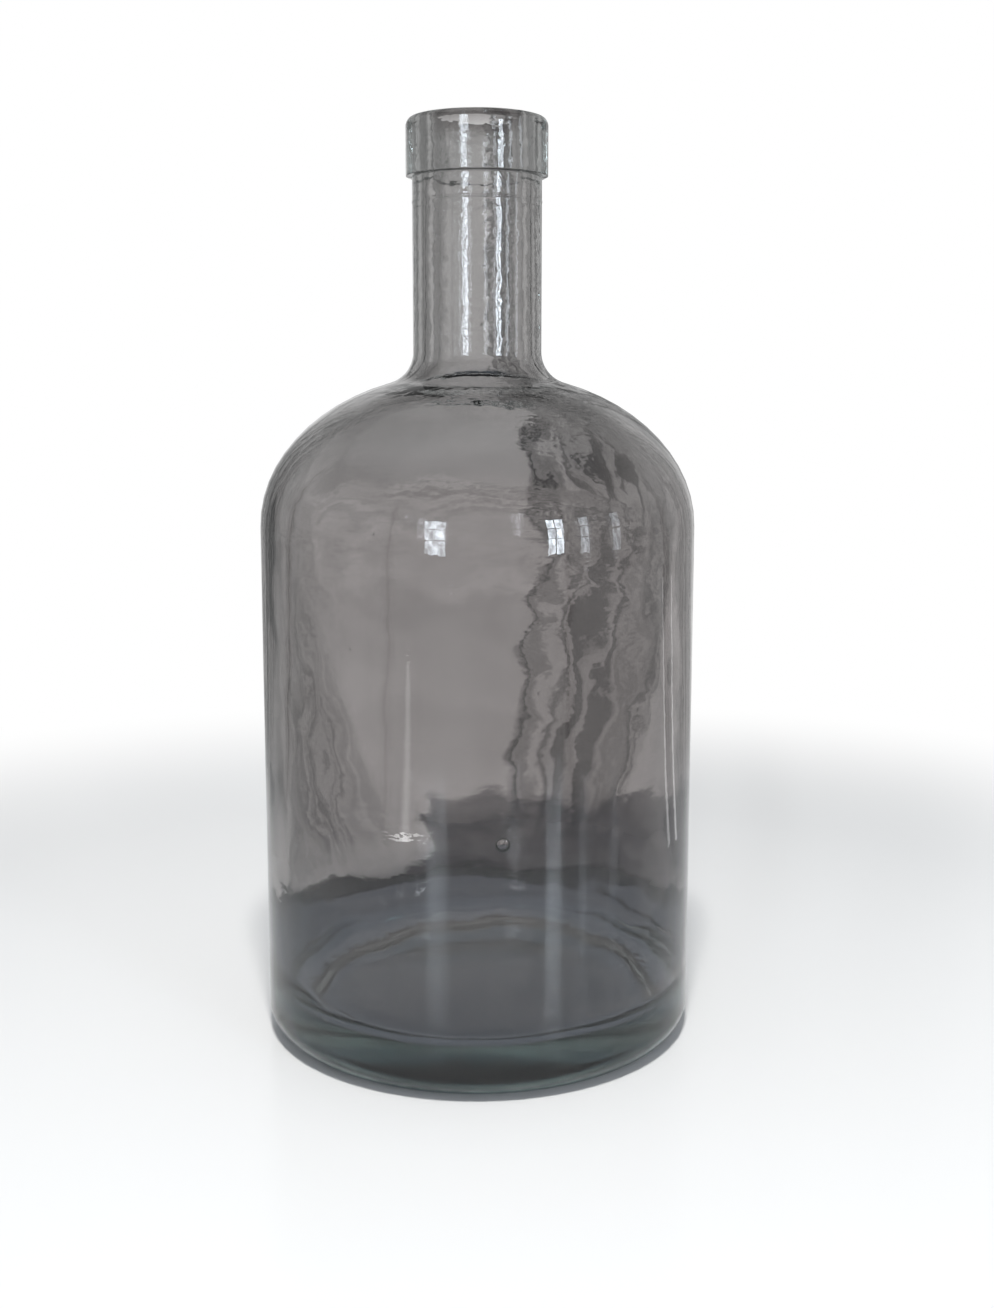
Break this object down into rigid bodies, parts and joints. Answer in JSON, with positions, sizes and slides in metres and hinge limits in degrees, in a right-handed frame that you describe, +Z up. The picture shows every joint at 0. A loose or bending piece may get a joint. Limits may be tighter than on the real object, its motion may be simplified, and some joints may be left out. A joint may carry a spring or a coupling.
{
  "type": "glass bottle",
  "caption": "Clear glass bottle with a straight round body, a domed shoulder, a straight neck and a banded lip for a bar-top cork, open at the mouth.",
  "frame": {"origin": "middle of the ring that the bottle stands on", "axes": "+Z up along the bottle's axis, towards the mouth; -Y faces the camera of the picture"},
  "size_m": [0.0936, 0.0936, 0.196],
  "materials": {
    "clear_glass": "clear, glossy and slightly wavy, grey-green where the glass is thick"
  },
  "bodies": {
    "root": {"glass_bottle": "clear_glass"}
  },
  "joints": []
}
